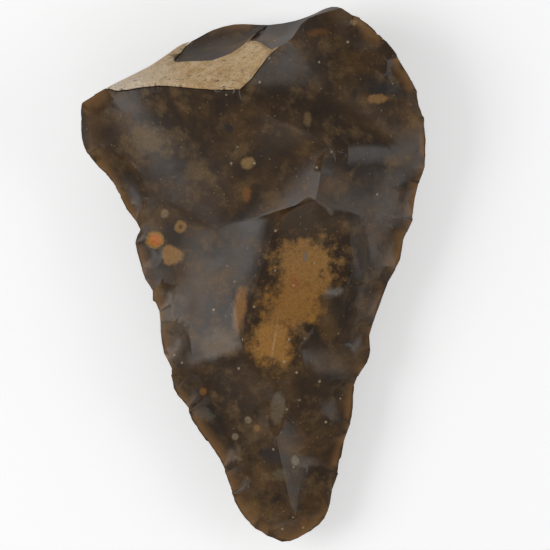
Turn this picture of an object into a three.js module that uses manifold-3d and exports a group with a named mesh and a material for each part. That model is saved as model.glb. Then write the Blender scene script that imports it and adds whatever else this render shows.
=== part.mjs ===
// A pointed hand axe, knapped from a flint nodule and lying on its flatter face.
// Millimetres, +Z up. The tip points along -Y, the thick butt along +Y, and the sharp edge runs right round.
// The stone is made as a knapper makes it: a blank is struck flake by flake, and each flake leaves a shallow
// dish that meets its neighbours in sharp ridges. A strip of the nodule's rind is left on the butt.

import * as THREE from 'three';
import { mergeVertices } from 'three/addons/utils/BufferGeometryUtils.js';
import Module from 'manifold-3d';

const wasm = await Module();
wasm.setup();

// Overall size of the axe
const axeLength = 150;
const axeWidth = 96;
const axeThickness = 42;

// The rind and how it sits on the flint
const rindThickness = 1.2;
const rindGap = 0.3;

// The sharp edge: how far a cut runs past it, how much a cut drops there, the least slope of each face to it,
// and how far from its level that slope counts
const edgeOverrun = 0.35;
const edgeDrop = 0.12;
const upperSlope = 0.18;
const underSlope = 0.36;
const wedgeRise = 2.6;

// The underside: how far the hollowed dome would sink below the flat facet that the axe rests on
const restSink = 1.6;
const undersideFullness = 2.1;

// How finely the surfaces are divided
const edgeSteps = 2;
const rimStep = 5;
const ringStep = 5;

// The block that the axe is struck from, and the heights that every cut is closed at, past the block
const blockHeight = axeThickness + 6;
const farAbove = blockHeight + 16;
const farBelow = -18;

// The sharp edge, clockwise from the left corner of the butt: across, along and height
const edgeLine = [
  [-47.8, 48.3, 21], [-44.8, 50.2, 20.5], [-40.9, 52.5, 19.5], [-35, 55.5, 18], [-29.2, 58.6, 16],
  [-24.7, 61.7, 14], [-19.9, 65.3, 11.5], [-16.9, 66.4, 10.5], [-14.4, 67.8, 10], [-11.3, 69.5, 9],
  [-5.4, 71.1, 8.5], [-0.4, 71.1, 8.5], [4.6, 70.9, 8.5], [12.1, 72, 10], [18, 73.9, 13.5],
  [21.9, 75.1, 18.5], [24.7, 74.5, 22], [27.5, 72.5, 23.5], [29.7, 71.7, 24.5], [35.3, 66.7, 25],
  [38.4, 63.6, 24.5], [41.2, 59.7, 24], [43.7, 55, 23.5], [45.6, 51.3, 22.5], [46.2, 47.2, 22],
  [47.6, 44.1, 21.5], [48.1, 37.9, 20], [47.8, 30.4, 19], [46.5, 26.8, 18], [45.3, 21.2, 18],
  [44.5, 15.6, 17.5], [42, 10.3, 17], [41.2, 4.7, 16.5], [37.8, -1.4, 16], [35, -9.2, 15.5],
  [32.5, -16.5, 15.5], [32.8, -20.6, 15.5], [31.9, -24, 15], [28.6, -29.3, 14.5], [28.3, -36.3, 14],
  [27.2, -41.3, 14], [25.5, -46, 13.5], [23.9, -55.2, 12.5], [22.2, -59.7, 12], [21.6, -63.6, 12],
  [19.9, -68.1, 11.5], [16, -72, 11], [10.2, -74.8, 11], [6, -74.2, 11], [2.4, -71.7, 11.5],
  [-1, -69.8, 11.5], [-5.4, -63.3, 12], [-6.3, -58.9, 12.5], [-7.7, -56.4, 13], [-8, -53.8, 13],
  [-11.3, -48.8, 13.5], [-15.5, -43, 14], [-18, -39.3, 14.5], [-18, -36.8, 15], [-21.1, -33.2, 15.5],
  [-23, -29.3, 16], [-22.7, -25.7, 16], [-25, -21.2, 16], [-25.8, -15.6, 16.5], [-26.1, -10, 17],
  [-28, -6.7, 17.5], [-28, -3.9, 17.5], [-30, -0.8, 17.5], [-31.7, 4.5, 17.5], [-32.8, 9.2, 17.5],
  [-32.5, 11.2, 17.5], [-31.4, 13.1, 17.5], [-33.9, 17, 18], [-37, 21.2, 18.5], [-38.4, 25.4, 18.5],
  [-42.3, 29.6, 19], [-46.2, 34.3, 20], [-47.6, 38.5, 20.5], [-47.8, 43.5, 21],
];

// The ridges where the main scars of the upper face meet
const ridgeLines = {
  brow: [
    [-40.9, 52.5, 19.5], [-33.6, 53.9, 24], [-29.2, 54.3, 27], [-24.7, 54, 31], [-19.9, 53.2, 35],
    [-14.9, 52.4, 38], [-11, 52, 40], [-4.6, 51.8, 42],
  ],
  browRight: [
    [-4.6, 51.8, 42], [-1.8, 53.6, 41.5], [0.7, 56.9, 40.5], [3.5, 60.3, 39.5], [7.7, 63.1, 38],
    [10.2, 64.2, 36.5], [12.4, 67.8, 33.5], [14.4, 70.6, 30.5], [19.1, 72.8, 26], [24.7, 74.5, 22],
  ],
  crown: [[-4.6, 51.8, 42], [2.1, 45.8, 41], [7.1, 42.4, 40], [15.5, 39.3, 38.5], [20.2, 35.2, 37.5]],
  shoulder: [[20.2, 35.2, 37.5], [19.1, 31.5, 37], [18, 24.3, 36], [17.2, 20.9, 35.5]],
  flank: [
    [17.2, 20.9, 35.5], [11.9, 19, 35], [8, 15.9, 34], [5.7, 12.3, 33], [4, 6.1, 31.5], [1.5, -0.6, 30],
    [-0.1, -5, 29], [-2.1, -11.4, 28], [-2.9, -21.5, 26],
  ],
  foot: [[-2.9, -21.5, 26], [-8.8, -22.6, 24.5], [-13.5, -24, 22.5], [-17.7, -25.9, 20], [-22.7, -25.7, 16]],
  crossRight: [
    [20.2, 35.2, 37.5], [24.1, 33.8, 35], [28.6, 34.6, 32], [36.4, 34.9, 27], [41.2, 34.6, 23.5],
    [45.6, 36, 21], [48.1, 37.9, 20],
  ],
  petalRight: [[17.2, 20.9, 35.5], [20.5, 17.3, 33], [22.7, 16.2, 32], [26.1, 15.1, 30.5], [26.9, 9.2, 28.5],
    [28, 3.1, 26.5]],
  lowerRight: [[28, 3.1, 26.5], [30.3, -0.3, 24], [31.9, -6.1, 20.5], [33.6, -13.7, 15.5]],
  petalLow: [[28, 3.1, 26.5], [26.6, -1.1, 26], [24.4, -5, 25.5], [21.3, -9.2, 25]],
  petalFoot: [
    [21.3, -9.2, 25], [17.4, -8.4, 25.8], [14.4, -9.8, 26], [11, -13.4, 26], [6.8, -19, 25.5],
    [5.2, -23.4, 24.8], [3.5, -28.2, 24],
  ],
  crack: [[3.5, -28.2, 24], [0.1, -25.7, 25], [-2.9, -21.5, 26]],
  strip: [[21.3, -9.2, 25], [16.3, -15.6, 24.5], [13.8, -19.5, 24], [13.5, -21.8, 24], [15.2, -26.5, 22.5]],
  lowerFoot: [[15.2, -26.5, 22.5], [22.7, -28.5, 18.5], [28.6, -29.3, 14.5]],
  shelf: [[3.5, -28.2, 24], [7.1, -28.5, 23.5], [11.6, -27.1, 23.5], [15.2, -26.5, 22.5]],
  keel: [[7.1, -28.5, 23.5], [6.3, -34.6, 22.5], [6.6, -44.9, 21], [8.5, -54.1, 19], [10.2, -62.5, 17],
    [11.9, -67.5, 15.5], [11, -74.8, 11]],
};

// The stone stands with the middle of its outline over the origin. The lists above are stretched to the
// overall size, so a change of length, width or thickness moves every ridge with the edge.
const across = edgeLine.map((point) => point[0]);
const along = edgeLine.map((point) => point[1]);
const drawn = {
  left: Math.min(...across),
  right: Math.max(...across),
  low: Math.min(...along),
  high: Math.max(...along),
  top: Math.max(...ridgeLines.brow.map((point) => point[2])),
};

function place([x, y, z = 0]) {
  return new THREE.Vector3(
    ((x - (drawn.left + drawn.right) / 2) * axeWidth) / (drawn.right - drawn.left),
    ((y - (drawn.low + drawn.high) / 2) * axeLength) / (drawn.high - drawn.low),
    (z * axeThickness) / drawn.top,
  );
}

// A smooth line through hand-set points, with steps between each two
function smoothLine(points, steps, closed = false) {
  const curve = new THREE.CatmullRomCurve3(points.map(place), closed, 'centripetal');
  const spans = closed ? points.length : points.length - 1;
  const line = curve.getPoints(spans * steps);
  if (closed) line.pop();
  return line;
}

const edge = smoothLine(edgeLine, edgeSteps, true);
const ridges = Object.fromEntries(
  Object.entries(ridgeLines).map(([name, points]) => [name, smoothLine(points, edgeSteps)]),
);

function reversed(line) {
  return [...line].reverse();
}

const leastGap = 1e-3;

function levelGap(a, b) {
  return Math.hypot(a.x - b.x, a.y - b.y);
}

// How far a point lies from a line, seen from above
function levelDistance(point, line) {
  let least = Infinity;
  for (let index = 1; index < line.length; index += 1) {
    const from = line[index - 1];
    const run = line[index].clone().sub(from).setZ(0);
    const along = point.clone().sub(from).setZ(0).dot(run) / run.lengthSq();
    const nearest = from.clone().addScaledVector(run, THREE.MathUtils.clamp(along, 0, 1));
    least = Math.min(least, levelGap(point, nearest));
  }
  return least;
}

// The edge seen from above, for finding what lies near it
function nearestEdgeIndex(point) {
  let best = 0;
  edge.forEach((sample, index) => {
    const here = (sample.x - point.x) ** 2 + (sample.y - point.y) ** 2;
    const least = (edge[best].x - point.x) ** 2 + (edge[best].y - point.y) ** 2;
    if (here < least) best = index;
  });
  return best;
}

function edgeAt(index) {
  return edge[(index + edge.length) % edge.length];
}

// Away from the stone, level, at one place of the edge
function edgeOutward(index) {
  const run = edgeAt(index + 1).clone().sub(edgeAt(index - 1));
  return new THREE.Vector3(-run.y, run.x, 0).normalize();
}

function insideEdge(point) {
  let inside = false;
  for (let index = 0; index < edge.length; index += 1) {
    const a = edgeAt(index);
    const b = edgeAt(index + 1);
    const spans = a.y > point.y !== b.y > point.y;
    if (spans && point.x < a.x + ((point.y - a.y) * (b.x - a.x)) / (b.y - a.y)) inside = !inside;
  }
  return inside;
}

function edgeDistance(point) {
  return levelDistance(point, [...edge, edge[0]]);
}

// The level of the sharp edge, carried over the whole plan: each stretch of edge counts by its nearness
const nearnessPower = 3;

function edgeLevel(point) {
  let whole = 0;
  let sum = 0;
  for (const sample of edge) {
    const nearness = 1 / Math.max(levelGap(sample, point), leastGap) ** nearnessPower;
    whole += nearness;
    sum += sample.z * nearness;
  }
  return sum / whole;
}

// A face of the stone: side is 1 for the upper face and -1 for the underside. It keeps every cut made so far,
// and gives the height of the surface that those cuts have left.
class Face {
  constructor(side) {
    this.side = side;
    this.cuts = [];
  }

  heightAt(point) {
    let height = this.side > 0 ? blockHeight : 0;
    for (const cut of this.cuts) {
      const here = cut.heightAt(point);
      if (here !== null) height = this.side > 0 ? Math.min(height, here) : Math.max(height, here);
    }
    return height;
  }

  // The height of the edge for a cut from this side
  edgeHeight(point) {
    return edgeAt(nearestEdgeIndex(point)).z - this.side * edgeDrop;
  }

  // The stretch of edge from one place clockwise to another, just outside the stone
  edgeRun(from, to) {
    const first = nearestEdgeIndex(from);
    const last = nearestEdgeIndex(to);
    const count = (last - first + edge.length) % edge.length;
    return Array.from({ length: count + 1 }, (_, step) => {
      const sample = edgeAt(first + step).clone().addScaledVector(edgeOutward(first + step), edgeOverrun);
      sample.z -= this.side * edgeDrop;
      return sample;
    });
  }

  // Holds a point of a cut off the sharp edge's own level, by more the further in it lies, so that the two faces
  // meet in a wedge and no cut breaks the edge
  keepWedge(point) {
    if (!insideEdge(point)) return;
    const inward = edgeDistance(point);
    const rise = Math.min(wedgeRise, inward * (this.side > 0 ? upperSlope : underSlope));
    const limit = edgeLevel(point) + this.side * (rise - edgeDrop);
    point.z = this.side > 0 ? Math.max(point.z, limit) : Math.min(point.z, limit);
  }

  // A plan point dropped onto the surface as it is now, or onto the edge where it lies outside
  seat(point) {
    const seated = point.clone();
    const height = insideEdge(point) ? this.heightAt(point) : this.edgeHeight(point);
    seated.z = height;
    return seated;
  }
}

// The skin of a cut is a net of triangles, seen as a height over the plan
class Skin {
  constructor(points, triangles) {
    this.points = points;
    this.triangles = triangles;
    this.box = new THREE.Box3().setFromPoints(points);
  }

  heightAt(point) {
    if (point.x < this.box.min.x || point.x > this.box.max.x) return null;
    if (point.y < this.box.min.y || point.y > this.box.max.y) return null;
    for (const [ia, ib, ic] of this.triangles) {
      const a = this.points[ia];
      const b = this.points[ib];
      const c = this.points[ic];
      const whole = (b.x - a.x) * (c.y - a.y) - (c.x - a.x) * (b.y - a.y);
      if (whole === 0) continue;
      const toB = ((point.x - a.x) * (c.y - a.y) - (c.x - a.x) * (point.y - a.y)) / whole;
      const toC = ((b.x - a.x) * (point.y - a.y) - (point.x - a.x) * (b.y - a.y)) / whole;
      if (toB >= 0 && toC >= 0 && toB + toC <= 1) return a.z + toB * (b.z - a.z) + toC * (c.z - a.z);
    }
    return null;
  }
}

// A rim walked at even steps, keeping its corners
const rimMerge = 0.45;

function evenRim(rim) {
  const even = [];
  rim.forEach((point, index) => {
    const next = rim[(index + 1) % rim.length];
    const last = even[even.length - 1];
    if (last && levelGap(point, last) < rimStep * rimMerge) return;
    even.push(point);
    const parts = Math.ceil(levelGap(point, next) / rimStep);
    for (let part = 1; part < parts; part += 1) even.push(point.clone().lerp(next, part / parts));
  });
  return even;
}

// The plane that lies closest to a rim, as a height over the plan and a normal
function closestPlane(rim) {
  let xx = 0;
  let xy = 0;
  let yy = 0;
  let xz = 0;
  let yz = 0;
  const mean = rim.reduce((sum, point) => sum.add(point), new THREE.Vector3()).divideScalar(rim.length);
  for (const point of rim) {
    const offset = point.clone().sub(mean);
    xx += offset.x * offset.x;
    xy += offset.x * offset.y;
    yy += offset.y * offset.y;
    xz += offset.x * offset.z;
    yz += offset.y * offset.z;
  }
  const whole = xx * yy - xy * xy;
  const slopeX = (xz * yy - yz * xy) / whole;
  const slopeY = (yz * xx - xz * xy) / whole;
  const heightAt = (point) => mean.z + (point.x - mean.x) * slopeX + (point.y - mean.y) * slopeY;
  return { heightAt, normal: new THREE.Vector3(-slopeX, -slopeY, 1).normalize() };
}

// A closed cutter between a skin and a lid far past the stone. The outer row of the skin leans out to the lid.
const wallSteepness = 6;

function cutterSolid(points, triangles, outerRow, lidCentre, side) {
  const lidHeight = side > 0 ? farAbove : farBelow;
  const all = [...points];
  const faces = [...triangles];
  const lidStart = all.length;
  for (const { index, outward } of outerRow) {
    const foot = points[index];
    const lean = Math.abs(lidHeight - foot.z) / wallSteepness;
    const top = foot.clone().addScaledVector(outward, lean);
    top.z = lidHeight;
    all.push(top);
  }
  const lidMiddle = all.length;
  all.push(new THREE.Vector3(lidCentre.x, lidCentre.y, lidHeight));
  outerRow.forEach(({ index }, step) => {
    const nextStep = (step + 1) % outerRow.length;
    const nextIndex = outerRow[nextStep].index;
    faces.push([nextIndex, index, lidStart + step]);
    faces.push([nextIndex, lidStart + step, lidStart + nextStep]);
    faces.push([lidStart + nextStep, lidStart + step, lidMiddle]);
  });
  return solidFrom(all, faces);
}

// A manifold solid from points and triangles, turned the right way out
function solidFrom(points, triangles) {
  let volume = 0;
  for (const [a, b, c] of triangles) volume += points[a].dot(points[b].clone().cross(points[c]));
  const faces = volume > 0 ? triangles : triangles.map(([a, b, c]) => [a, c, b]);
  const geometry = new THREE.BufferGeometry().setFromPoints(points);
  geometry.setIndex(faces.flat());
  return toSolid(geometry);
}

function toSolid(source) {
  const bare = source.clone();
  bare.deleteAttribute('normal');
  bare.deleteAttribute('uv');
  const geometry = mergeVertices(bare, 1e-5);
  return new wasm.Manifold(
    new wasm.Mesh({
      numProp: 3,
      vertProperties: new Float32Array(geometry.attributes.position.array),
      triVerts: new Uint32Array(geometry.index.array),
    }),
  );
}

// The triangles between two closed rows of points that start side by side
function stitch(inner, outer) {
  const triangles = [];
  let near = 0;
  let far = 0;
  while (near < inner.length || far < outer.length) {
    const here = inner[near % inner.length];
    const there = outer[far % outer.length];
    const nearNext = (near + 0.5) / inner.length;
    const farNext = (far + 0.5) / outer.length;
    if (near === inner.length || (far < outer.length && farNext <= nearNext)) {
      far += 1;
      triangles.push([here, there, outer[far % outer.length]]);
    } else {
      near += 1;
      triangles.push([here, there, inner[near % inner.length]]);
    }
  }
  return triangles;
}

// The place at a share of the way round a closed row of points
function roundAt(row, share) {
  const place = share * row.length;
  const index = Math.floor(place);
  return row[index % row.length].clone().lerp(row[(index + 1) % row.length], place - index);
}

// Stretches a film over a rim: every free point settles at the mean height of its neighbours
const filmPasses = 160;

function stretchFilm(points, triangles, freeCount, plane) {
  const around = Array.from({ length: freeCount }, () => new Map());
  for (const triangle of triangles) {
    for (const index of triangle) {
      if (index >= freeCount) continue;
      for (const other of triangle) {
        if (other === index) continue;
        around[index].set(other, 1 / Math.max(levelGap(points[index], points[other]), leastGap));
      }
    }
  }
  const height = points.map((point, index) => (index < freeCount ? 0 : point.z - plane.heightAt(point)));
  for (let pass = 0; pass < filmPasses; pass += 1) {
    around.forEach((links, index) => {
      let whole = 0;
      let sum = 0;
      for (const [other, pull] of links) {
        whole += pull;
        sum += height[other] * pull;
      }
      height[index] = sum / whole;
    });
  }
  for (let index = 0; index < freeCount; index += 1) {
    points[index].z = plane.heightAt(points[index]) + height[index];
  }
}

// One flake scar: a dish spanned by its rim, hollowed by depth. A lip of 2 gives an even hollow, and a higher
// one keeps the floor flat and turns up sharply at the rim. Overrun carries the dish on past its rim. Ease is how
// far in from the sharp edge the hollow takes to reach its full depth.
const ringCrowding = 1.25;
const ringThinning = 0.75;
const leastRing = 7;

function dish(face, { rim, centre, middle = place(centre), depth, lip = 2, overrun = 0, ease = 0 }) {
  const border = evenRim(rim);
  const plane = closestPlane(border);
  const widest = border.reduce((sum, point) => sum + levelGap(point, middle), 0) / border.length;
  const ringCount = Math.max(3, Math.round(widest / ringStep));

  const points = [middle.clone()];
  const shares = [0];
  const rings = [];
  for (let ring = 1; ring <= ringCount; ring += 1) {
    const share = 1 - (1 - ring / ringCount) ** ringCrowding;
    const count = Math.min(border.length, Math.max(leastRing, Math.round(border.length * share ** ringThinning)));
    const row = ring === ringCount ? border : Array.from({ length: count }, (_, step) => roundAt(border, step / count));
    rings.push(
      row.map((end) => {
        shares.push(share);
        return points.push(middle.clone().lerp(end, share).setZ(end.z)) - 1;
      }),
    );
  }
  const triangles = rings[0].map((index, step) => [0, index, rings[0][(step + 1) % rings[0].length]]);
  for (let ring = 1; ring < rings.length; ring += 1) triangles.push(...stitch(rings[ring - 1], rings[ring]));
  stretchFilm(points, triangles, points.length - border.length, plane);

  points.forEach((point, index) => {
    const eased = ease > 0 ? THREE.MathUtils.smoothstep(edgeDistance(point), 0, ease) : 1;
    point.addScaledVector(plane.normal, -face.side * depth * eased * (1 - shares[index] ** lip));
    face.keepWedge(point);
  });
  if (overrun > 0) {
    const last = rings[rings.length - 1];
    const before = rings[rings.length - 2].map((index) => points[index]);
    const beyond = last.map((rimIndex, step) => {
      const run = points[rimIndex].clone().sub(roundAt(before, step / last.length));
      const level = Math.hypot(run.x, run.y);
      return points.push(points[rimIndex].clone().addScaledVector(run, overrun / level)) - 1;
    });
    rings.push(beyond);
    triangles.push(...stitch(last, beyond));
  }
  const outerRow = rings[rings.length - 1].map((index) => {
    const outward = new THREE.Vector3(points[index].x - middle.x, points[index].y - middle.y, 0).normalize();
    return { index, outward };
  });
  const skin = new Skin(points, triangles);
  skin.solid = cutterSolid(points, triangles, outerRow, middle, face.side);
  return skin;
}

// A line walked in equal steps
function evenLine(line, count) {
  const path = new THREE.CurvePath();
  line.slice(1).forEach((point, index) => path.add(new THREE.LineCurve3(line[index], point)));
  return Array.from({ length: count }, (_, step) => path.getPointAt(step / (count - 1)));
}

// Where a band narrows to less than this, it keeps the direction that it has at its middle
const bandTaper = 8;

// A long scar or rind between a lower and an upper line. Crown swells it along its normal, and a negative
// crown hollows it. Sink gives how deep the skin lies in the stone, by the share of the way along the band.
function band(face, { lower, upper, columns, rows, crown, overrunLow, overrunHigh, sink = () => 0 }) {
  const low = evenLine(lower, columns);
  const high = evenLine(upper, columns);
  const middle = Math.floor(columns / 2);
  const mainRun = high[middle].clone().sub(low[middle]).normalize();
  const longest = Math.max(...low.map((point, index) => point.distanceTo(high[index])));
  const points = [];
  const grid = [];
  for (let column = 0; column < columns; column += 1) {
    const chord = high[column].clone().sub(low[column]);
    const steady = chord.clone().addScaledVector(mainRun, bandTaper);
    const run = steady.clone().divideScalar(Math.hypot(steady.x, steady.y));
    const normal = new THREE.Vector3(-run.x * run.z, -run.y * run.z, 1).normalize();
    const span = chord.length();
    const from = low[column].clone().addScaledVector(run, -overrunLow);
    const to = high[column].clone().addScaledVector(run, overrunHigh);
    const row = [];
    for (let step = 0; step <= rows; step += 1) {
      const point = from.clone().lerp(to, step / rows);
      const passed = point.clone().sub(low[column]).dot(run) / run.length();
      const swell = (4 * crown * passed * (span - passed)) / longest ** 2;
      point.addScaledVector(normal, swell - sink(column / (columns - 1)));
      row.push(points.push(point) - 1);
    }
    grid.push(row);
  }
  const triangles = [];
  for (let column = 1; column < columns; column += 1) {
    for (let step = 1; step <= rows; step += 1) {
      triangles.push([grid[column - 1][step - 1], grid[column - 1][step], grid[column][step]]);
      triangles.push([grid[column - 1][step - 1], grid[column][step], grid[column][step - 1]]);
    }
  }
  const loop = reversed([
    ...grid.map((row) => row[0]),
    ...grid[columns - 1].slice(1),
    ...reversed(grid.map((row) => row[rows]).slice(0, -1)),
    ...reversed(grid[0].slice(1, -1)),
  ]);
  const centre = points[grid[middle][Math.floor(rows / 2)]];
  const outerRow = loop.map((index) => {
    const outward = new THREE.Vector3(points[index].x - centre.x, points[index].y - centre.y, 0).normalize();
    return { index, outward };
  });
  const skin = new Skin(points, triangles);
  skin.solid = cutterSolid(points, triangles, outerRow, centre, face.side);
  return skin;
}

// A flake struck off the edge at a place: its width there, how far it reaches in, how much it spreads,
// the turn of the blow in degrees, and its depth
const bulbShare = 0.45;

function edgeFlake(face, { at, strike = place(at), wide, reach, spread = 0.25, turn = 0, depth, lip = 2 }) {
  const struck = nearestEdgeIndex(strike);
  let first = struck;
  let last = struck;
  const chordLength = () => Math.hypot(edgeAt(last).x - edgeAt(first).x, edgeAt(last).y - edgeAt(first).y);
  while (chordLength() < wide) {
    if (last - struck > struck - first) first -= 1;
    else last += 1;
  }
  const base = [];
  for (let index = first; index <= last; index += 1) {
    const sample = edgeAt(index).clone().addScaledVector(edgeOutward(index), edgeOverrun);
    sample.z -= face.side * edgeDrop;
    base.push(sample);
  }
  const start = base[0];
  const end = base[base.length - 1];
  const foot = start.clone().add(end).multiplyScalar(0.5);
  const half = end.clone().sub(start).multiplyScalar(0.5);
  half.z = 0;
  const inward = new THREE.Vector3(half.y, -half.x, 0).normalize();
  inward.applyAxisAngle(new THREE.Vector3(0, 0, 1), THREE.MathUtils.degToRad(turn));
  const archSteps = Math.max(5, Math.round((2 * reach + wide) / rimStep));
  const arch = [];
  for (let step = 1; step < archSteps; step += 1) {
    const angle = (Math.PI * step) / archSteps;
    const point = foot.clone();
    point.addScaledVector(half, Math.cos(angle) * (1 + spread * Math.sin(angle)));
    point.addScaledVector(inward, Math.sin(angle) * reach);
    arch.push(face.seat(point));
  }
  const middle = foot.clone().addScaledVector(inward, reach * bulbShare);
  return dish(face, { rim: [...base, ...arch], middle, depth, lip });
}

// The upper face
const upper = new Face(1);
const stretch = (from, to) => upper.edgeRun(place(from), place(to));
const seated = (points) => points.map((point) => upper.seat(place(point)));
const mainOverrun = 1.6;
const mainEase = 15;

// The natural outside of the nodule, from the sharp edge up to the brow. Where flakes have since taken it off,
// it stood proud of the edge and brow that they left.
const rindProud = 1.9;
const rindLines = {
  lower: upper.edgeRun(place([-40.9, 52.5]), place([24.7, 74.5])).map((point) => {
    const outward = edgeOutward(nearestEdgeIndex(point));
    return point.addScaledVector(outward, rindProud * THREE.MathUtils.smoothstep(point.x, -21, -15));
  }),
  upper: [...ridges.brow, ...ridges.browRight.slice(1)].map((point) => {
    const raised = point.clone();
    raised.z += 2 * rindProud * THREE.MathUtils.smoothstep(point.x, 2, 7);
    return raised;
  }),
};
const rindShape = { columns: 26, rows: 8, crown: 1.5, overrunLow: 2 };
upper.cuts.push(band(upper, { ...rindLines, ...rindShape, overrunHigh: mainOverrun }));

// Two scars on the butt take most of the rind away
upper.cuts.push(
  dish(upper, {
    rim: [
      ...stretch([-20.3, 65], [4.6, 70.9]),
      ...seated([
        [1.8, 68.6], [-1.8, 64.4], [-6, 61.4], [-11.3, 59.4], [-17.7, 59.5], [-22.7, 59.4], [-25.3, 60.2],
        [-23.4, 62.2], [-21.6, 63.9],
      ]),
    ],
    centre: [-10.7, 64.7], depth: 1.8, lip: 6,
  }),
);
upper.cuts.push(
  band(upper, {
    lower: stretch([4.6, 70.9], [24.7, 74.5]),
    upper: [...seated([[-1.8, 64.4], [1.3, 63.8], [3.4, 61.9], [4.6, 61]]), ...ridges.browRight.slice(8)],
    columns: 16, rows: 6, crown: -1.5, overrunLow: 2, overrunHigh: 0.6,
  }),
);

const mainScars = [
  {
    name: 'left face',
    rim: [
      ...ridges.brow, ...ridges.crown.slice(1), ...ridges.shoulder.slice(1), ...ridges.flank.slice(1),
      ...ridges.foot.slice(1), ...stretch([-22.7, -25.7], [-40.9, 52.5]).slice(1, -1),
    ],
    centre: [-10.7, 12.8], depth: 2.2, lip: 4,
  },
  {
    name: 'right shoulder',
    rim: [
      ...ridges.browRight, ...stretch([24.7, 74.5], [48.1, 37.9]).slice(1, -1),
      ...reversed(ridges.crossRight), ...reversed(ridges.crown).slice(1, -1),
    ],
    centre: [22.7, 51.9], depth: 1.6,
  },
  {
    name: 'right side',
    rim: [
      ...ridges.crossRight, ...stretch([48.1, 37.9], [33.6, -13.7]).slice(1, -1),
      ...reversed(ridges.lowerRight), ...reversed(ridges.petalRight).slice(1),
      ...reversed(ridges.shoulder).slice(1, -1),
    ],
    centre: [31.9, 17], depth: 1.6,
  },
  {
    name: 'petal',
    rim: [
      ...ridges.petalRight, ...ridges.petalLow.slice(1), ...ridges.petalFoot.slice(1), ...ridges.crack.slice(1),
      ...reversed(ridges.flank).slice(1, -1),
    ],
    centre: [8.8, 0.3], depth: 1.4,
  },
  {
    name: 'strip',
    rim: [...ridges.strip, ...reversed(ridges.shelf).slice(1), ...reversed(ridges.petalFoot).slice(1, -1)],
    centre: [11, -19.3], depth: 0.8,
  },
  {
    name: 'lower right',
    rim: [
      ...ridges.lowerRight, ...stretch([33.6, -13.7], [28.6, -29.3]).slice(1, -1),
      ...reversed(ridges.lowerFoot), ...reversed(ridges.strip).slice(1), ...reversed(ridges.petalLow).slice(1, -1),
    ],
    centre: [24.1, -19.3], depth: 1,
  },
  {
    name: 'tip right',
    rim: [
      ...ridges.shelf.slice(1), ...ridges.lowerFoot.slice(1), ...stretch([28.6, -29.3], [11, -74.8]).slice(1, -1),
      ...reversed(ridges.keel).slice(0, -1),
    ],
    centre: [17.2, -45.8], depth: 1.2,
  },
  {
    name: 'tip left',
    rim: [
      ...ridges.keel, ...stretch([10.2, -74.8], [-22.7, -25.7]).slice(1, -1),
      ...reversed(ridges.foot), ...reversed(ridges.crack).slice(1), ...ridges.shelf.slice(1, 2),
    ],
    centre: [-4, -43], depth: 1.2,
  },
];
for (const scar of mainScars) upper.cuts.push(dish(upper, { ...scar, overrun: mainOverrun, ease: mainEase }));

// Later scars cut into the main ones, each drawn by the stretch of edge that it opens on and its inner rim
const laterScars = [
  {
    name: 'grey scar on the left', edge: [[-31.4, 13.1], [-46.2, 34.3]],
    inner: [[-42.8, 36.3], [-39.5, 35.7], [-34.5, 32.4], [-30.8, 27.9], [-29.2, 22.3], [-30, 17]],
    centre: [-36.5, 24.6], depth: 1.5,
  },
  {
    name: 'bevel on the left', edge: [[-31.4, 13.1], [-42.3, 29.6]],
    inner: [[-39.5, 27.6], [-37, 25.1], [-34.7, 22], [-32.8, 18.4], [-31.5, 15.1]],
    centre: [-36.4, 21.8], depth: 0.5,
  },
  {
    name: 'bevel on the right', edge: [[47.6, 44.1], [47.8, 30.4]],
    inner: [[46.2, 32.4], [45.6, 35.4], [46.1, 39.3], [46.6, 42.1]],
    centre: [47, 36.5], depth: 0.25,
  },
  {
    name: 'scar above the right ridge', edge: [[26.4, -43.8], [23.6, -56.1]],
    inner: [[17.2, -53.6], [12.4, -53.3], [13, -49.1], [18, -46]],
    centre: [19.9, -50.2], depth: 1.3,
  },
  {
    name: 'scar on the tip', edge: [[21.1, -64.7], [2.4, -71.7]],
    inner: [[4.9, -69.5], [10.7, -67.8], [13.5, -67], [18.6, -66.1]],
    centre: [12.1, -70.6], depth: 0.9,
  },
];
for (const scar of laterScars) {
  upper.cuts.push(dish(upper, { ...scar, rim: [...stretch(...scar.edge), ...seated(scar.inner)] }));
}

// A small leaf of flint has lifted off the middle, away from the edge
upper.cuts.push(
  dish(upper, {
    rim: seated([
      [4.5, -32], [7.1, -33], [9.7, -35.6], [9.1, -38.8], [8, -42.4], [6.3, -44.9], [4.9, -42.4], [4, -37.9],
      [3.5, -34],
    ]),
    centre: [6.6, -37.9], depth: 0.7, lip: 3,
  }),
);

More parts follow.
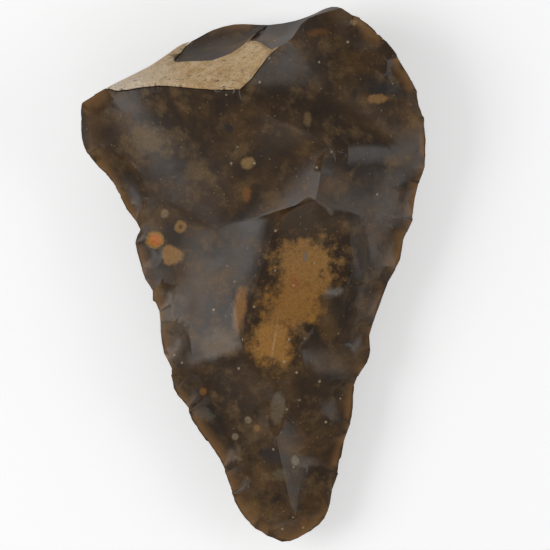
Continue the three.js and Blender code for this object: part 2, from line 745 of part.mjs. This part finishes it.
// Small flakes struck off the edge on the upper face, to sharpen it
const upperTrim = [
  { at: [-20.8, -33.6], wide: 7, reach: 8, depth: 1.2 },
  { at: [-17.7, -38.8], wide: 6, reach: 9, depth: 1.2, turn: 12 },
  { at: [-3.5, -66.7], wide: 9, reach: 8, depth: 1.1 },
  { at: [-6.8, -57.8], wide: 7, reach: 7, depth: 1 },
  { at: [-9.6, -51.3], wide: 8, reach: 9, depth: 1.2 },
  { at: [-13.5, -45.8], wide: 8, reach: 9, depth: 1.2 },
  { at: [27.5, -36.5], wide: 10, reach: 10, depth: 1.2 },
  { at: [32.2, -19.3], wide: 8, reach: 7, depth: 1 },
  { at: [36.7, -5.3], wide: 11, reach: 8, depth: 1.1 },
  { at: [42.3, 8.6], wide: 10, reach: 7, depth: 0.9 },
  { at: [45.6, 22.6], wide: 9, reach: 6, depth: 0.8 },
  { at: [42.3, 56.9], wide: 11, reach: 6, depth: 0.8 },
  { at: [33.3, 68.6], wide: 10, reach: 7, depth: 0.9 },
  { at: [28.3, 72.3], wide: 4, reach: 4, depth: 0.6 },
  { at: [-27.2, -6.7], wide: 7, reach: 7, depth: 0.9 },
  { at: [-31.9, 8], wide: 7, reach: 7, depth: 0.9 },
  { at: [-25.2, -19.3], wide: 10, reach: 8, depth: 1 },
  { at: [-45.5, 49.5], wide: 8, reach: 6, depth: 0.8 },
];
for (const flake of upperTrim) upper.cuts.push(edgeFlake(upper, flake));

// The blank is a block with the outline of the edge, cut by every scar of both faces
function outlineBlock() {
  const shape = new THREE.Shape(edge.map((point) => new THREE.Vector2(point.x, point.y)));
  return toSolid(new THREE.ExtrudeGeometry(shape, { depth: blockHeight, bevelEnabled: false }));
}

const under = new Face(-1);
const edgeMiddle = edge.reduce((sum, point) => sum + point.z, 0) / edge.length;
under.cuts.push(
  dish(under, {
    rim: edge.map((sample, index) => {
      const point = sample.clone().addScaledVector(edgeOutward(index), edgeOverrun);
      point.z += edgeDrop;
      return point;
    }),
    centre: [3, 21],
    depth: -(edgeMiddle + restSink),
    lip: undersideFullness,
  }),
);

// Broad flakes struck in from all round hollow the underside and leave the flat facet in the middle
const underFlakes = [
  { at: [-46, 40], wide: 21, reach: 33, depth: 2.1, turn: 8 },
  { at: [46.5, 46], wide: 23, reach: 34, depth: 2.2, turn: -6 },
  { at: [-27, -7], wide: 18, reach: 28, depth: 1.7, turn: -8 },
  { at: [43, 14], wide: 19, reach: 31, depth: 1.9, turn: 6 },
  { at: [2, 71], wide: 25, reach: 27, depth: 2, turn: 5 },
  { at: [-33, 15], wide: 18, reach: 29, depth: 1.8, turn: 4 },
  { at: [36, -8], wide: 17, reach: 27, depth: 1.6, turn: -5 },
  { at: [-17, -41], wide: 16, reach: 23, depth: 1.5, turn: -10 },
  { at: [28.5, -33], wide: 16, reach: 25, depth: 1.5, turn: 7 },
  { at: [-28, 59], wide: 20, reach: 24, depth: 1.8, turn: -4 },
  { at: [37, 65], wide: 18, reach: 27, depth: 1.8, turn: 9 },
  { at: [24.5, -52], wide: 13, reach: 18, depth: 1.2, turn: 5 },
  { at: [-7.5, -57], wide: 12, reach: 15, depth: 1.1, turn: -6 },
  { at: [10, -74.8], wide: 12, reach: 20, depth: 1.1, turn: 4 },
  { at: [-24, -24], wide: 11, reach: 16, depth: 1.1, turn: 12 },
  { at: [46, 29], wide: 11, reach: 15, depth: 1, turn: -10 },
  { at: [-41, 30], wide: 12, reach: 15, depth: 1.1, turn: 10 },
];
for (const flake of underFlakes) under.cuts.push(edgeFlake(under, flake));

// Fine trimming runs along the edge below, in flakes that vary as the hand does
const trimCount = 22;
const trimWide = 8;
const trimReach = 6;
const trimVary = 0.35;
for (let blow = 0; blow < trimCount; blow += 1) {
  const share = (blow + 0.3 * Math.sin(blow * 5.1)) / trimCount;
  const at = edgeAt(Math.round(share * edge.length));
  const vary = 1 + trimVary * Math.sin(blow * 2.4);
  const reach = trimReach * (1 + trimVary * Math.sin(blow * 1.7 + 1));
  const depth = reach * 0.09;
  const turn = 14 * Math.sin(blow * 3.3);
  under.cuts.push(edgeFlake(under, { strike: at, wide: trimWide * vary, reach, depth, turn }));
}

function cutAll(block, face) {
  return face.cuts.reduce((stone, cut) => stone.subtract(cut.solid), block);
}

const stone = cutAll(cutAll(outlineBlock(), upper), under);

// The rind is the outer layer of the nodule where no flake has taken it off. It thins out at both ends.
const rindReach = 6;
const rindTaper = 0.05;
const rindEnd = 0.7;
const rindEndTaper = 0.02;
const rindShell = (gap) =>
  band(upper, {
    ...rindLines, ...rindShape, overrunHigh: rindReach,
    sink: (share) => {
      const fromEnd = Math.max((rindEnd - share) / rindEndTaper, -1);
      return gap + rindThickness * Math.min(1, share / rindTaper, fromEnd);
    },
  }).solid;
const rindSolid = stone.intersect(rindShell(0));
const flintSolid = stone.subtract(rindShell(rindGap));

// Chips that a cut leaves loose fall away, and the largest body stays
function largestBody(solid) {
  const mesh = solid.getMesh();
  const points = mesh.vertProperties;
  const step = mesh.numProp;
  const triangles = mesh.triVerts;
  const pointCount = points.length / step;
  const parent = Array.from({ length: pointCount }, (_, index) => index);
  const find = (index) => {
    let root = index;
    while (parent[root] !== root) {
      parent[root] = parent[parent[root]];
      root = parent[root];
    }
    return root;
  };
  for (let index = 0; index < triangles.length; index += 3) {
    parent[find(triangles[index])] = find(triangles[index + 1]);
    parent[find(triangles[index + 1])] = find(triangles[index + 2]);
  }
  const counts = new Map();
  for (let index = 0; index < triangles.length; index += 3) {
    const root = find(triangles[index]);
    counts.set(root, (counts.get(root) ?? 0) + 1);
  }
  const [biggest] = [...counts.entries()].sort((a, b) => b[1] - a[1])[0];
  const kept = [];
  for (let index = 0; index < triangles.length; index += 3) {
    if (find(triangles[index]) === biggest) kept.push(...triangles.slice(index, index + 3));
  }
  const positions = new Float32Array(pointCount * 3);
  for (let index = 0; index < pointCount; index += 1) {
    positions.set(points.slice(index * step, index * step + 3), index * 3);
  }
  const geometry = new THREE.BufferGeometry();
  geometry.setAttribute('position', new THREE.BufferAttribute(positions, 3));
  geometry.setIndex(kept);
  return geometry;
}

function part(name, solid, colour, roughness) {
  const material = new THREE.MeshStandardMaterial({ color: colour, roughness, metalness: 0 });
  const mesh = new THREE.Mesh(largestBody(solid), material);
  mesh.name = name;
  return mesh;
}

const axe = new THREE.Group();
axe.add(part('flint_body', flintSolid, 0x4a3a26, 0.35));
axe.add(part('cortex_rind', rindSolid, 0xc9a673, 0.9));

export default axe;
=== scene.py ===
# A pointed flint hand axe with a strip of rind on its butt, on a white table and seen from straight above.
# Metres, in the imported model's frame: +Z up, the tip towards -Y, the butt towards +Y.

import math

import bpy
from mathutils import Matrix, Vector
from mathutils.bvhtree import BVHTree


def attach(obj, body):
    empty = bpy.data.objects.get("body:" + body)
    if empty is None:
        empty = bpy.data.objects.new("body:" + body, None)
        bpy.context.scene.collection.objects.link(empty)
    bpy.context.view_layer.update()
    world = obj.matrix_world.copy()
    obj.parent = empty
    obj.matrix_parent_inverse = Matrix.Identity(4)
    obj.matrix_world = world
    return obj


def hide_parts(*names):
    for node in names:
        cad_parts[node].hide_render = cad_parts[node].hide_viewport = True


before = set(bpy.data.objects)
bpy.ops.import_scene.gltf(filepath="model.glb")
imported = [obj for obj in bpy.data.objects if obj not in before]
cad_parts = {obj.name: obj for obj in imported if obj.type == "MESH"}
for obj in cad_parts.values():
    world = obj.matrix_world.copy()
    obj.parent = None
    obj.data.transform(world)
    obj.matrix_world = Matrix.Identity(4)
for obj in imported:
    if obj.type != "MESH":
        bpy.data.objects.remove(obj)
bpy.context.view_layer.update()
MM = 0.001


def mm(*values):
    return tuple(value * MM for value in values)


def srgb(red, green, blue):
    """A colour read as 0 to 255 on screen, as the linear colour that a shader takes."""
    def linear(value):
        value /= 255
        return value / 12.92 if value <= 0.04045 else ((value + 0.055) / 1.055) ** 2.4
    return (linear(red), linear(green), linear(blue), 1.0)


# Camera: straight down, framed as the photograph, which shows 153.5 mm from side to side
VIEW_WIDTH = 153.5 * MM
VIEW_MIDDLE = mm(6.0, 0.3)
VIEW_LEVEL = 18 * MM
CAMERA_HEIGHT = 0.9
SENSOR = 36.0

camera_data = bpy.data.cameras.new("camera")
camera_data.sensor_width = SENSOR
camera_data.lens = SENSOR * (CAMERA_HEIGHT - VIEW_LEVEL) / VIEW_WIDTH
camera = bpy.data.objects.new("camera", camera_data)
camera.location = (*VIEW_MIDDLE, CAMERA_HEIGHT)
bpy.context.scene.collection.objects.link(camera)
bpy.context.scene.camera = camera
bpy.context.scene.view_settings.view_transform = "Standard"


# Shader helpers

def new_material(name):
    material = bpy.data.materials.new(name)
    material.use_nodes = True
    return material, material.node_tree, material.node_tree.nodes["Principled BSDF"]


def add(tree, kind, inputs=None, **settings):
    """A node with its settings, whose named or numbered inputs are values or links."""
    node = tree.nodes.new(kind)
    for key, value in settings.items():
        setattr(node, key, value)
    for key, value in (inputs or {}).items():
        if isinstance(value, bpy.types.NodeSocket):
            tree.links.new(value, node.inputs[key])
        else:
            node.inputs[key].default_value = value
    return node


def maths(tree, operation, one, other):
    return add(tree, "ShaderNodeMath", {0: one, 1: other}, operation=operation).outputs[0]


def vector_maths(tree, operation, one, other):
    return add(tree, "ShaderNodeVectorMath", {0: one, 1: other}, operation=operation).outputs[0]


def map_range(tree, value, start, end, first, last, interpolation="LINEAR"):
    """First where the value is at the start or before it, last where it is at the end or past it."""
    inputs = {0: value, 1: start, 2: end, 3: first, 4: last}
    return add(tree, "ShaderNodeMapRange", inputs, interpolation_type=interpolation).outputs[0]


def noise(tree, place, scale, detail, roughness, distortion=0.0):
    """The outputs of a noise texture, whose scale is in waves to a metre."""
    inputs = {"Vector": place, "Scale": scale, "Detail": detail, "Roughness": roughness}
    inputs["Distortion"] = distortion
    return add(tree, "ShaderNodeTexNoise", inputs).outputs


def cells(tree, place, scale):
    """The distance from each point to the middle of its cell."""
    return add(tree, "ShaderNodeTexVoronoi", {"Vector": place, "Scale": scale}).outputs["Distance"]


def ramp(tree, value, stops):
    node = add(tree, "ShaderNodeValToRGB", {0: value})
    while len(node.color_ramp.elements) < len(stops):
        node.color_ramp.elements.new(0.5)
    for element, (position, colour) in zip(node.color_ramp.elements, stops):
        element.position = position
        element.color = colour
    return node.outputs[0]


def fade(tree, value, start, end):
    """A share between two stops of a value, each given as its position and the share there."""
    return ramp(tree, value, [(position, (share, share, share, 1)) for position, share in (start, end)])


def mix_colour(tree, share, below, above):
    return add(tree, "ShaderNodeMix", {0: share, 6: below, 7: above}, data_type="RGBA").outputs[2]


def bump(tree, surface, height, distance, strength):
    node = add(tree, "ShaderNodeBump", {"Height": height, "Distance": distance, "Strength": strength})
    tree.links.new(node.outputs[0], surface.inputs["Normal"])


def new_group(name, inputs, outputs):
    """A shader node group. Inputs and outputs are names with their kinds: Float, Vector or Color."""
    group = bpy.data.node_groups.new(name, "ShaderNodeTree")
    for socket_name, kind in inputs.items():
        group.interface.new_socket(socket_name, in_out="INPUT", socket_type="NodeSocket" + kind)
    for socket_name, kind in outputs.items():
        group.interface.new_socket(socket_name, in_out="OUTPUT", socket_type="NodeSocket" + kind)
    return group, group.nodes.new("NodeGroupInput").outputs, group.nodes.new("NodeGroupOutput").inputs


def stain_and_sheen_group():
    """A soft oval with a wandering edge, seen along Z. Wander is a noise colour that bends the edge."""
    group, given, out = new_group(
        "stain and sheen oval",
        {
            "Place": "Vector", "Centre": "Vector", "Size": "Vector", "Turn": "Float",
            "Softness": "Float", "Wobble": "Float", "Wander": "Color", "Amount": "Float",
        },
        {"Mask": "Float"},
    )
    level = (1, 1, 0)
    middle_grey = (0.5, 0.5, 0.5)
    offset = vector_maths(group, "SUBTRACT", given["Place"], given["Centre"])
    offset = vector_maths(group, "MULTIPLY", offset, level)
    turned = add(
        group, "ShaderNodeVectorRotate", {"Vector": offset, "Angle": given["Turn"]}, rotation_type="Z_AXIS",
    ).outputs[0]
    sized = vector_maths(group, "DIVIDE", turned, given["Size"])
    wander = vector_maths(group, "SUBTRACT", given["Wander"], middle_grey)
    scaled = {0: wander, "Scale": given["Wobble"]}
    wobble = add(group, "ShaderNodeVectorMath", scaled, operation="SCALE").outputs[0]
    bent = vector_maths(group, "MULTIPLY", vector_maths(group, "ADD", sized, wobble), level)
    reach = add(group, "ShaderNodeVectorMath", {0: bent}, operation="LENGTH").outputs["Value"]
    edge_start = maths(group, "SUBTRACT", 1.0, given["Softness"])
    inside = map_range(group, reach, edge_start, 1.0, 1.0, 0.0, "SMOOTHSTEP")
    group.links.new(maths(group, "MULTIPLY", inside, given["Amount"]), out["Mask"])
    return group


# Stains seen in the stone, and two patches of painted grey sheen where tilted scars reflect the panels. Each
# has its middle across and along and its half sizes in mm, its turn in degrees, its colour, how strong it is
# and how soft its edge is.
TAN = srgb(128, 100, 58)
LIGHT_TAN = srgb(170, 136, 84)
OLIVE_TAN = srgb(116, 90, 50)
RING_TAN = srgb(168, 124, 66)
OCHRE = srgb(178, 130, 68)
DEEP_OCHRE = srgb(166, 116, 54)
BRIGHT_OCHRE = srgb(182, 130, 64)
# Painted light: the amber of light shining through the stone's thin edges
SHINE_THROUGH_AMBER = srgb(146, 106, 62)
RUST = srgb(156, 78, 38)
RED_BROWN = srgb(156, 98, 42)
ORANGE = srgb(206, 118, 42)
ORANGE_BROWN = srgb(136, 88, 38)
MID_BROWN = srgb(112, 82, 44)
SOFT_BROWN = srgb(88, 68, 40)
DARK_OLIVE = srgb(66, 50, 28)
DARK = srgb(40, 31, 20)
BLUE_BLACK = srgb(34, 34, 37)
SLATE = srgb(42, 43, 47)
GREY = srgb(118, 112, 104)
BLUE_GREY = srgb(138, 140, 134)
GREY_TAN = srgb(120, 106, 84)
SHEEN_GREY = srgb(124, 108, 88)
PALE = srgb(176, 150, 108)
PALE_GREY = srgb(156, 140, 112)

PATCHES = [
    ((-29.7, 37.4), (9.5, 5.5), 10, TAN, 0.55, 0.6),
    ((-25.5, 29.6), (6.5, 3.6), 15, DARK, 0.6, 0.6),
    ((-14.9, 29.6), (5, 4.5), 0, OLIVE_TAN, 0.55, 0.7),
    ((-1.5, 31), (2.6, 2), 10, LIGHT_TAN, 0.7, 0.5),
    ((-1.8, 22.6), (1.6, 3), 0, RED_BROWN, 0.55, 0.6),
    ((-6.6, 40.5), (2, 1.6), 0, BLUE_BLACK, 0.7, 0.6),
    ((36.7, 51.9), (9.5, 3.4), -12, BLUE_BLACK, 0.75, 0.7),
    ((34.7, 49.1), (4, 1.7), 5, srgb(160, 118, 66), 0.75, 0.5),
    ((27.8, 70.3), (1.3, 1.3), 0, PALE, 0.7, 0.5),
    ((14.9, 42.7), (1.5, 2.6), 0, srgb(150, 122, 80), 0.5, 0.6),
    ((17.2, 67.2), (4.2, 1.6), 10, ORANGE_BROWN, 0.55, 0.8),
    ((-27.5, 10), (2.9, 2.9), 0, srgb(176, 134, 62), 0.8, 0.3),
    ((-27.5, 10), (2.1, 2.1), 0, ORANGE, 0.95, 0.4),
    ((-22.7, 5.9), (3.5, 3.5), 0, srgb(170, 124, 62), 0.85, 0.35),
    ((-20.2, 13.7), (2.1, 2.1), 0, RING_TAN, 0.75, 0.4),
    ((-20.2, 13.7), (0.9, 0.9), 0, DARK, 0.6, 0.6),
    ((-24.7, 17.3), (1.5, 1.5), 0, PALE, 0.45, 0.5),
    ((14.4, 3.1), (11.5, 10.5), -15, OCHRE, 0.8, 0.55),
    ((11, -7.5), (10, 9.5), 15, DEEP_OCHRE, 0.9, 0.6),
    ((21, -12), (5, 9), 0, MID_BROWN, 0.6, 0.7),
    ((16.3, 15.6), (10, 4.2), 8, DARK_OLIVE, 0.8, 0.6),
    # Painted grey sheen: light reflected by the lower left of the big left scar, which tilts towards the left
    # panel
    ((-24, -12), (9, 12), 15, SHEEN_GREY, 0.55, 0.8),
    ((-9, -19), (7, 7), 0, srgb(132, 104, 68), 0.55, 0.8),
    # Painted grey sheen: light reflected by the scar on the right, which tilts towards the right panel
    ((36, 16), (5, 18), -6, srgb(98, 84, 72), 0.55, 0.8),
    ((14.4, 5.3), (0.9, 1.9), 0, GREY, 0.7, 0.5),
    ((11.6, -1.7), (2, 3.6), 10, RUST, 0.45, 0.8),
    ((21.9, -4.5), (4, 2), 12, BLUE_GREY, 0.5, 0.8),
    ((16.3, -11.7), (1.7, 2.2), 0, srgb(170, 122, 48), 0.7, 0.7),
    ((-3.8, -8.9), (2.4, 8.5), -8, srgb(170, 120, 64), 0.75, 0.6),
    ((5, -18.5), (7.2, 9.6), 20, BRIGHT_OCHRE, 0.9, 0.6),
    ((23.3, -9.5), (3.4, 5.8), 0, srgb(44, 36, 24), 0.7, 0.7),
    ((28.3, -12.3), (3.2, 5), 0, SOFT_BROWN, 0.5, 0.8),
    ((-16.6, -32.4), (3.2, 2.3), 0, srgb(50, 36, 22), 0.7, 0.6),
    ((-14.1, -32.1), (1.3, 1.3), 0, srgb(148, 96, 38), 0.7, 0.5),
    ((-13.8, -38.8), (4, 2.6), -10, srgb(108, 101, 90), 0.55, 0.6),
    ((6.8, -36.8), (2.4, 6), -5, GREY_TAN, 0.7, 0.5),
    ((-1.5, -40.2), (1.2, 1.2), 0, PALE_GREY, 0.6, 0.4),
    ((-5.2, -44.9), (1.2, 1.2), 0, PALE_GREY, 0.6, 0.4),
    ((1, -42.4), (1.3, 1.3), 0, srgb(166, 120, 58), 0.6, 0.6),
    ((5.2, -49.9), (5.2, 4), 0, SLATE, 0.6, 0.7),
    ((11.6, -51.6), (1.5, 1.8), 10, srgb(156, 146, 124), 0.65, 0.5),
    ((7.4, -55.5), (2.8, 2.5), 0, srgb(122, 108, 82), 0.5, 0.6),
    ((14.1, -68.9), (1.4, 1.9), 0, srgb(124, 78, 36), 0.6, 0.6),
]

# The edge of a patch whose half width is over WIDE_PATCH wanders more than a small one's
WIDE_PATCH = 3.6
WIDE_WOBBLE = 2.2
SMALL_WOBBLE = 1.1


def lay_patches(tree, place, colour):
    """Lays each patch over the stone's colour, on the side that faces up, the painted sheens too."""
    normal = add(tree, "ShaderNodeNewGeometry").outputs["Normal"]
    upward = add(tree, "ShaderNodeSeparateXYZ", {0: normal}).outputs[2]
    upper_side = map_range(tree, upward, -0.05, 0.15, 0.0, 1.0)
    wander = noise(tree, place, 260, 6, 0.7)["Color"]
    group = stain_and_sheen_group()
    for (across, along), (half_across, half_along), turn, tint, amount, softness in PATCHES:
        mask = add(tree, "ShaderNodeGroup", {
            "Place": place,
            "Centre": mm(across, along, 0),
            "Size": mm(half_across, half_along, 1),
            "Turn": math.radians(-turn),
            "Softness": softness,
            "Wobble": WIDE_WOBBLE if half_across > WIDE_PATCH else SMALL_WOBBLE,
            "Wander": wander,
            "Amount": amount,
        }, node_tree=group).outputs["Mask"]
        colour = mix_colour(tree, maths(tree, "MULTIPLY", mask, upper_side), colour, tint)
    return colour


def mottled_flint():
    """Dark brown glassy stone: clouds, blotches, patches and specks, two patches of painted grey sheen, and
    painted amber light shining through where it is thin.
    """
    material, tree, surface = new_material("mottled brown flint")
    place = add(tree, "ShaderNodeTexCoord").outputs["Object"]
    clouds = noise(tree, place, 55, 6, 0.6, 0.5)["Fac"]
    blotches = noise(tree, place, 170, 5, 0.65)["Fac"]
    grain = noise(tree, place, 1400, 4, 0.7)["Fac"]

    colour = ramp(tree, clouds, [
        (0.3, srgb(38, 26, 13)),
        (0.45, srgb(56, 38, 18)),
        (0.58, srgb(80, 56, 27)),
        (0.75, srgb(116, 83, 41)),
    ])
    colour = mix_colour(tree, fade(tree, blotches, (0.52, 0), (0.7, 0.8)), colour, srgb(118, 90, 52))
    colour = mix_colour(tree, fade(tree, blotches, (0.3, 0.8), (0.46, 0)), colour, srgb(38, 30, 22))
    colour = lay_patches(tree, place, colour)
    pale_specks = fade(tree, cells(tree, place, 190), (0.05, 0.8), (0.09, 0))
    colour = mix_colour(tree, pale_specks, colour, srgb(186, 168, 138))
    tan_specks = fade(tree, cells(tree, place, 420), (0.06, 0.5), (0.14, 0))
    colour = mix_colour(tree, tan_specks, colour, srgb(150, 118, 74))
    colour = mix_colour(tree, fade(tree, grain, (0.35, 0.35), (0.6, 0)), colour, srgb(36, 27, 16))
    # Painted light: amber where the stone is thin, standing in for light shining through its edges
    thin = add(tree, "ShaderNodeAttribute", attribute_name="thin", attribute_type="GEOMETRY").outputs["Fac"]
    colour = mix_colour(tree, maths(tree, "MULTIPLY", thin, 0.7), colour, SHINE_THROUGH_AMBER)
    tree.links.new(colour, surface.inputs["Base Color"])

    undulation = noise(tree, place, 160, 3, 0.55)["Fac"]
    height = maths(tree, "ADD", undulation, maths(tree, "MULTIPLY", grain, 0.06))
    bump(tree, surface, height, 0.4 * MM, 0.35)
    tree.links.new(map_range(tree, blotches, 0.3, 0.7, 0.3, 0.44), surface.inputs["Roughness"])
    surface.inputs["IOR"].default_value = 1.54
    surface.inputs["Specular IOR Level"].default_value = 0.36
    return material


def chalky_rind():
    """Rough tan rind, whiter at its left end, with brown pores and blue-black streaks."""
    material, tree, surface = new_material("chalky tan cortex")
    place = add(tree, "ShaderNodeTexCoord").outputs["Object"]
    clouds = noise(tree, place, 260, 6, 0.7)["Fac"]
    grain = noise(tree, place, 1500, 5, 0.8)["Fac"]
    streaks_place = add(tree, "ShaderNodeMapping", {"Vector": place, "Scale": (0.4, 1.6, 1.0)}).outputs[0]
    streaks = noise(tree, streaks_place, 700, 4, 0.7)["Fac"]
    across = add(tree, "ShaderNodeSeparateXYZ", {0: place}).outputs[0]
    whiter = map_range(tree, across, -18 * MM, -38 * MM, 0.0, 0.8)

    colour = ramp(tree, clouds, [
        (0.3, srgb(188, 146, 98)), (0.5, srgb(226, 190, 140)), (0.7, srgb(242, 220, 184)),
    ])
    colour = mix_colour(tree, whiter, colour, srgb(246, 232, 212))
    colour = mix_colour(tree, fade(tree, grain, (0.3, 0.75), (0.5, 0)), colour, srgb(120, 82, 44))
    colour = mix_colour(tree, fade(tree, streaks, (0.6, 0), (0.68, 0.8)), colour, srgb(52, 50, 54))
    tree.links.new(colour, surface.inputs["Base Color"])
    bump(tree, surface, maths(tree, "ADD", grain, clouds), 0.5 * MM, 0.9)
    surface.inputs["Roughness"].default_value = 0.9
    return material


# The stone's surfaces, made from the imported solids
FLINT_RIDGE_ANGLE = math.radians(14)
RIND_RIDGE_ANGLE = math.radians(30)
MERGE_DISTANCE = 0.001 * MM
THIN_DEPTH = 2.2 * MM
RAY_START = 0.05 * MM


def piece_from_node(name, node, ridge_angle, material):
    """A merged copy of a CAD node. Its shading breaks where two faces meet at more than the ridge angle,
    and is even everywhere else, led by the larger faces."""
    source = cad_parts[node]
    piece = bpy.data.objects.new(name, source.data.copy())
    bpy.context.scene.collection.objects.link(piece)
    bpy.ops.object.select_all(action="DESELECT")
    piece.select_set(True)
    bpy.context.view_layer.objects.active = piece
    bpy.ops.object.mode_set(mode="EDIT")
    bpy.ops.mesh.select_all(action="SELECT")
    bpy.ops.mesh.remove_doubles(threshold=MERGE_DISTANCE)
    bpy.ops.object.mode_set(mode="OBJECT")
    bpy.ops.object.shade_smooth_by_angle(angle=ridge_angle)
    weigh = piece.modifiers.new("even shading", "WEIGHTED_NORMAL")
    weigh.keep_sharp = True
    bpy.ops.object.modifier_apply(modifier=weigh.name)
    piece.data.materials.clear()
    piece.data.materials.append(material)
    return piece


def mark_thin(mesh, deepest):
    """Writes how thin the stone is behind each point: 0 at the deepest distance, 1 at a sharp edge."""
    solid = BVHTree.FromPolygons([v.co for v in mesh.vertices], [p.vertices for p in mesh.polygons])
    values = []
    for vertex in mesh.vertices:
        inward = -vertex.normal
        hit = solid.ray_cast(vertex.co + inward * RAY_START, inward, deepest)
        values.append(0.0 if hit[3] is None else 1 - hit[3] / deepest)
    mesh.attributes.new("thin", "FLOAT", "POINT").data.foreach_set("value", values)


flint_piece = piece_from_node("flint", "flint_body", FLINT_RIDGE_ANGLE, mottled_flint())
mark_thin(flint_piece.data, THIN_DEPTH)
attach(flint_piece, "root")
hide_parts("flint_body")

cortex_piece = piece_from_node("cortex", "cortex_rind", RIND_RIDGE_ANGLE, chalky_rind())
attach(cortex_piece, "root")
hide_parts("cortex_rind")


# White table and soft studio light
TABLE_SIZE = 4.0
TABLE_WHITE = (0.86, 0.86, 0.86, 1)
TABLE_GLOW = 0.4
WORLD_LIGHT = 0.22


def white_table():
    """A matt white table that the camera sees a little brighter, as on an overexposed backdrop."""
    material, tree, surface = new_material("white table")
    surface.inputs["Base Color"].default_value = TABLE_WHITE
    surface.inputs["Roughness"].default_value = 0.8
    seen = add(tree, "ShaderNodeLightPath").outputs["Is Camera Ray"]
    surface.inputs["Emission Color"].default_value = (1, 1, 1, 1)
    tree.links.new(maths(tree, "MULTIPLY", seen, TABLE_GLOW), surface.inputs["Emission Strength"])
    bpy.ops.mesh.primitive_plane_add(size=TABLE_SIZE, location=(0, 0, 0))
    table = bpy.context.active_object
    table.name = "white_table"
    table.data.materials.append(material)


def soft_panel(name, location, width, brightness):
    """A square panel of light that faces the stone. Its brightness is its radiance: 1 shows as white."""
    data = bpy.data.lights.new(name, "AREA")
    data.shape = "SQUARE"
    data.size = width
    data.energy = brightness * math.pi * width ** 2
    light = bpy.data.objects.new(name, data)
    light.location = location
    towards_stone = Vector((0, 0, VIEW_LEVEL)) - Vector(location)
    light.rotation_euler = towards_stone.to_track_quat("-Z", "Y").to_euler()
    bpy.context.scene.collection.objects.link(light)


white_table()
soft_panel("left_panel", (-0.75, 0.02, 0.72), width=0.6, brightness=3.6)
soft_panel("right_panel", (0.85, -0.05, 0.45), width=0.5, brightness=2.4)
soft_panel("back_panel", (0.1, 0.95, 0.5), width=0.9, brightness=0.6)
soft_panel("front_panel", (0.0, -1.0, 0.5), width=0.9, brightness=0.7)

world = bpy.data.worlds.new("studio")
world.use_nodes = True
background = world.node_tree.nodes["Background"]
background.inputs["Color"].default_value = (1, 1, 1, 1)
background.inputs["Strength"].default_value = WORLD_LIGHT
bpy.context.scene.world = world
